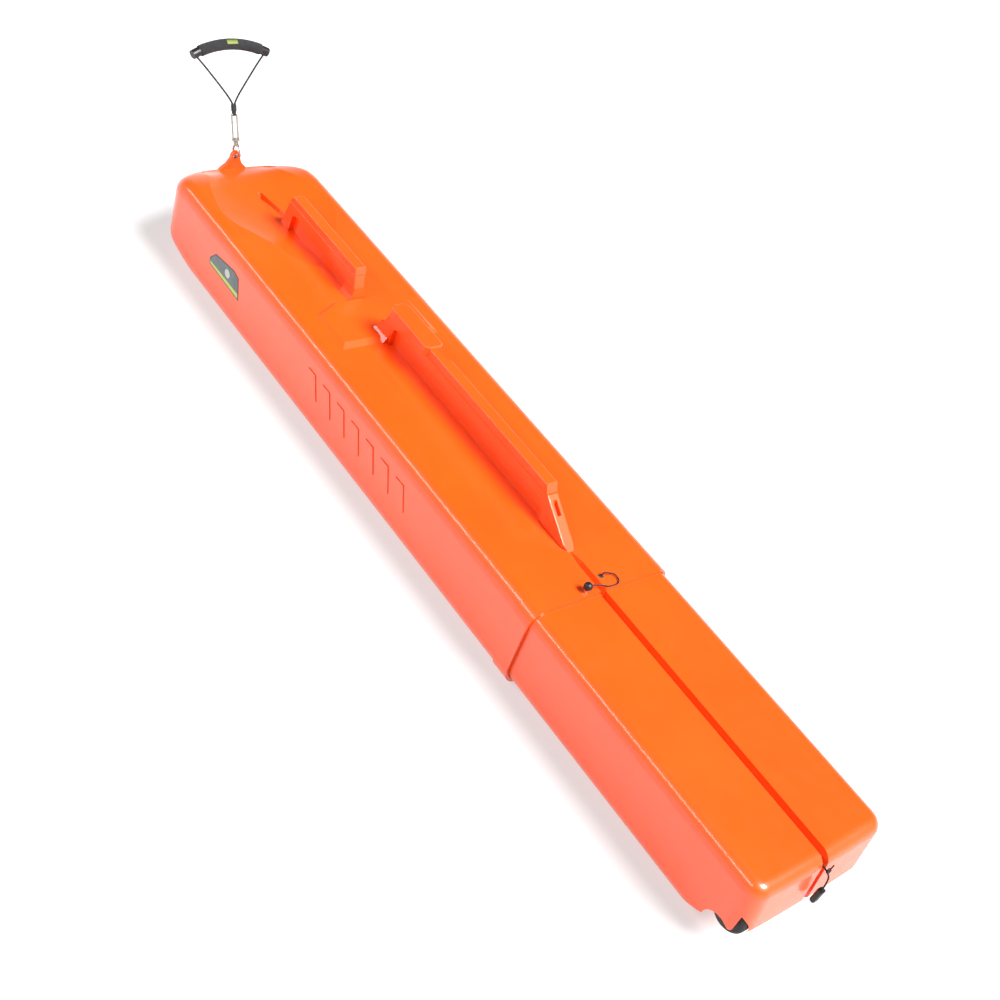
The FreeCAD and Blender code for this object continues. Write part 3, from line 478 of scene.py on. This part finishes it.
# ---- cords -------------------------------------------------------------------------------------------
def add_cords(material):
    lanyard_line = smooth_route([Vector(p) * MM for p in LANYARD_POINTS])
    lanyard = piece_from("lanyard_braid", braided_mesh("lanyard_braid", lanyard_line, LANYARD_R, 9 * MM),
                         None, material)
    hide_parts("lock_lanyard")
    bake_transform(lanyard)

    for side, sign in (("left", 1), ("right", -1)):
        line = smooth_route([leaned(x, y * sign, z) for x, y, z in LEG_POINTS])
        name = side + "_leg_braid"
        leg = piece_from(name, braided_mesh(name, line, LEG_R, 13 * MM), "leash", material)
        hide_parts(side + "_leash_leg")

    line = smooth_route([Vector(p) * MM for p in TAIL_CORD_POINTS])
    knot = add_knot(material)
    tail = piece_from("tail_cord_braid", braided_mesh("tail_cord_braid", line, TAIL_CORD_R, 10 * MM),
                      "tail_pull", material)
    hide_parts("tail_cord")


def add_knot(material):
    """The knot that keeps the tail cord in its eyelet, with its two cut ends standing up."""
    middle = Vector(KNOT_MIDDLE) * MM
    bm = bmesh.new()
    loop = []
    turns = 96
    for i in range(turns + 1):
        t = math.tau * i / turns
        loop.append(middle + Vector((-math.sin(3 * t) * 1.1, math.sin(t) + 2 * math.sin(2 * t),
                                     math.cos(t) - 2 * math.cos(2 * t))) * KNOT_SIZE * MM)
    skin_rings(bm, [round_ring(p, s, o, 1.3 * MM, 8) for p, s, o, _ in frames_along(loop)])
    for sign in (1, -1):
        end = smooth_route([middle + Vector(p) * MM for p in
                            ((0.5, sign * 1.0, 1.0), (0.3, sign * 3.0, 5.0), (0.8, sign * 5.6, 10.5))])
        rings = [round_ring(p, s, o, 1.35 * MM * (1.0 - 0.25 * d / 0.011), 8)
                 for p, s, o, d in frames_along(end)]
        skin_rings(bm, rings)
    return piece_from("tail_cord_knot", mesh_of("tail_cord_knot", bm), "tail_pull", material)


# ---- leash -------------------------------------------------------------------------------------------
def add_foam_grip(material):
    """Bent foam sleeve: soft shoulders at the caps, slight hollows where it has been gripped."""
    random.seed(11)
    bm = bmesh.new()
    stations = 72
    around = 36
    phases = [random.uniform(0, math.tau) for _ in range(6)]
    rings = []
    for i in range(stations + 1):
        share = -1.0 + 2.0 * i / stations
        angle = FOAM_ANGLE * share
        to_end = (1.0 - abs(share)) * FOAM_ANGLE * GRIP_BEND_R
        shoulder = 1.0 - 0.16 * max(0.0, 1.0 - to_end / FOAM_SHOULDER) ** 2
        ring = []
        for k in range(around):
            turn = math.tau * k / around
            dent = 0.10 * math.sin(9 * share + phases[0]) * math.sin(2 * turn + phases[1])
            dent += 0.06 * math.sin(23 * share + phases[2]) * math.sin(3 * turn + phases[3])
            radius = (FOAM_R - FOAM_INSIDE + dent) * shoulder
            reach = GRIP_BEND_R + radius * math.cos(turn)
            ring.append(leaned(radius * math.sin(turn), reach * math.sin(angle),
                               GRIP_BEND_Z + reach * math.cos(angle)))
        rings.append(ring)
    skin_rings(bm, rings)
    grip = piece_from("grip_foam_sleeve", mesh_of("grip_foam_sleeve", bm), "leash", material)
    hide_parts("grip_foam")


def add_webbing(material):
    """Woven band round the swivel's bar, with thicker selvedges."""
    straight = [SLEEVE_BOTTOM + 0.5] + [BAIL_Z + above for above in (5, 4, 3, 2)]
    path = [(-BAND_R, z, -1.0, 0.0) for z in straight]
    for k in range(13):
        turn = math.pi + math.pi * k / 12
        out = math.cos(turn)
        up = math.sin(turn)
        path.append((BAND_R * out, BAIL_Z + BAND_R * up, out, up))
    path += [(BAND_R, z, 1.0, 0.0) for z in reversed(straight)]
    half = BAND_HALF
    section = [(-half, 0.15), (-3.1, 0.5), (-2.7, 0.58), (-2.3, 0.42), (-1.2, 0.46), (0, 0.42), (1.2, 0.46),
               (2.3, 0.42), (2.7, 0.58), (3.1, 0.5), (half, 0.15), (half, -0.15), (3.1, -0.5), (2.7, -0.55),
               (0, -0.5), (-2.7, -0.55), (-3.1, -0.5), (-half, -0.15)]
    bm = bmesh.new()
    skin_rings(bm, [[leaned(x + nx * n, y, z + nz * n) for y, n in section] for x, z, nx, nz in path])
    band = piece_from("webbing_band", mesh_of("webbing_band", bm), "leash", material)
    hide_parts("leash_webbing")


def add_sleeve(material, thread):
    """Flattened woven sleeve, drawn in by three rows of stitches."""
    stations = 40
    around = 32
    rings = []
    for i in range(stations + 1):
        z = SLEEVE_BOTTOM + (SLEEVE_TOP - SLEEVE_BOTTOM) * i / stations
        pinch = 1.0 - 0.10 * sum(math.exp(-((z - row) / 1.0) ** 2) for row in STITCH_ROWS)
        hem = 1.0 - 0.12 * max(0.0, 1.0 - min(z - SLEEVE_BOTTOM, SLEEVE_TOP - z) / 0.9) ** 2
        ring = []
        for k in range(around):
            turn = math.tau * k / around
            c = math.copysign(abs(math.cos(turn)) ** 0.55, math.cos(turn))
            s = math.copysign(abs(math.sin(turn)) ** 0.55, math.sin(turn))
            ring.append(leaned(SLEEVE_HALF_THICK * c * pinch * hem, SLEEVE_HALF_WIDE * s * hem, z))
        rings.append(ring)
    bm = bmesh.new()
    skin_rings(bm, rings)
    sleeve = piece_from("stitched_sleeve", mesh_of("stitched_sleeve", bm), "leash", material)
    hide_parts("leash_sleeve")

    bm = bmesh.new()
    for z in STITCH_ROWS:
        for face in (-1, 1):
            for k in range(5):
                y = -3.2 + 1.6 * k
                ends = [leaned(face * 3.72, y - 0.55, z), leaned(face * 3.86, y, z),
                        leaned(face * 3.72, y + 0.55, z)]
                skin_rings(bm, [round_ring(p, s, o, 0.22 * MM, 6) for p, s, o, _ in frames_along(ends)])
    piece_from("sleeve_stitches", mesh_of("sleeve_stitches", bm), "leash", thread)


def dress_frame():
    wear(make_shell_plastic("shell_plastic", 620.0, 0.6), "outer_shell", "inner_shell")
    wear(make_shell_plastic("rail_plastic", 900.0, 0.55), "lower_rail", "lower_rail_strip", "upper_rail",
         "upper_rail_strip")
    wear(make_moulded("black_plastic", (0.004, 0.004, 0.0045), (0.008, 0.008, 0.009), 0.42), "lock_knob",
         "toggle_body", "toggle_button", "left_grip_cap", "right_grip_cap", "grip_tube", "left_axle_spacers",
         "right_axle_spacers", "left_wheel_hub", "right_wheel_hub")
    wear(make_moulded("tyre_rubber", (0.005, 0.005, 0.005), (0.012, 0.0118, 0.0115), 0.62, 700.0, 0.4),
         "left_wheel_tyre", "right_wheel_tyre")
    wear(make_metal("dull_nickel", (0.30, 0.26, 0.22), (0.52, 0.47, 0.42), 0.38), "tow_hook_body",
         "tow_hook_gate", "tow_hook_gate_pin", "swivel_rivet", "swivel_eye", "left_axle_pin",
         "right_axle_pin", "left_axle_cap", "right_axle_cap", "lock_pin", "toggle_spring",
         "lock_anchor_eyelet", "tail_eyelet", "tow_eye_bush")
    wear(make_metal("bush_bronze", (0.55, 0.38, 0.18), (0.78, 0.60, 0.34), 0.34), "left_wheel_bushes",
         "right_wheel_bushes")
    wear(make_moulded("badge_plastic", (0.10, 0.13, 0.008), (0.14, 0.18, 0.012), 0.45), "grip_badge")
    wear(make_sticker(), "side_sticker")
    cord = make_fabric("braid", (0.004, 0.004, 0.0045), (0.011, 0.011, 0.0115), 700.0)
    add_cords(cord)
    add_foam_grip(make_foam())
    webbing = make_fabric("webbing", (0.004, 0.004, 0.0045), (0.012, 0.012, 0.013), 420.0)
    add_webbing(webbing)
    add_sleeve(webbing, make_fabric("thread", (0.05, 0.05, 0.05), (0.10, 0.10, 0.10), 900.0))
    wear(cord, "lock_lanyard", "tail_cord", "left_leash_leg", "right_leash_leg", "leash_webbing",
         "leash_sleeve", "grip_foam")


add_camera()
add_floor()
add_light()
dress_frame()
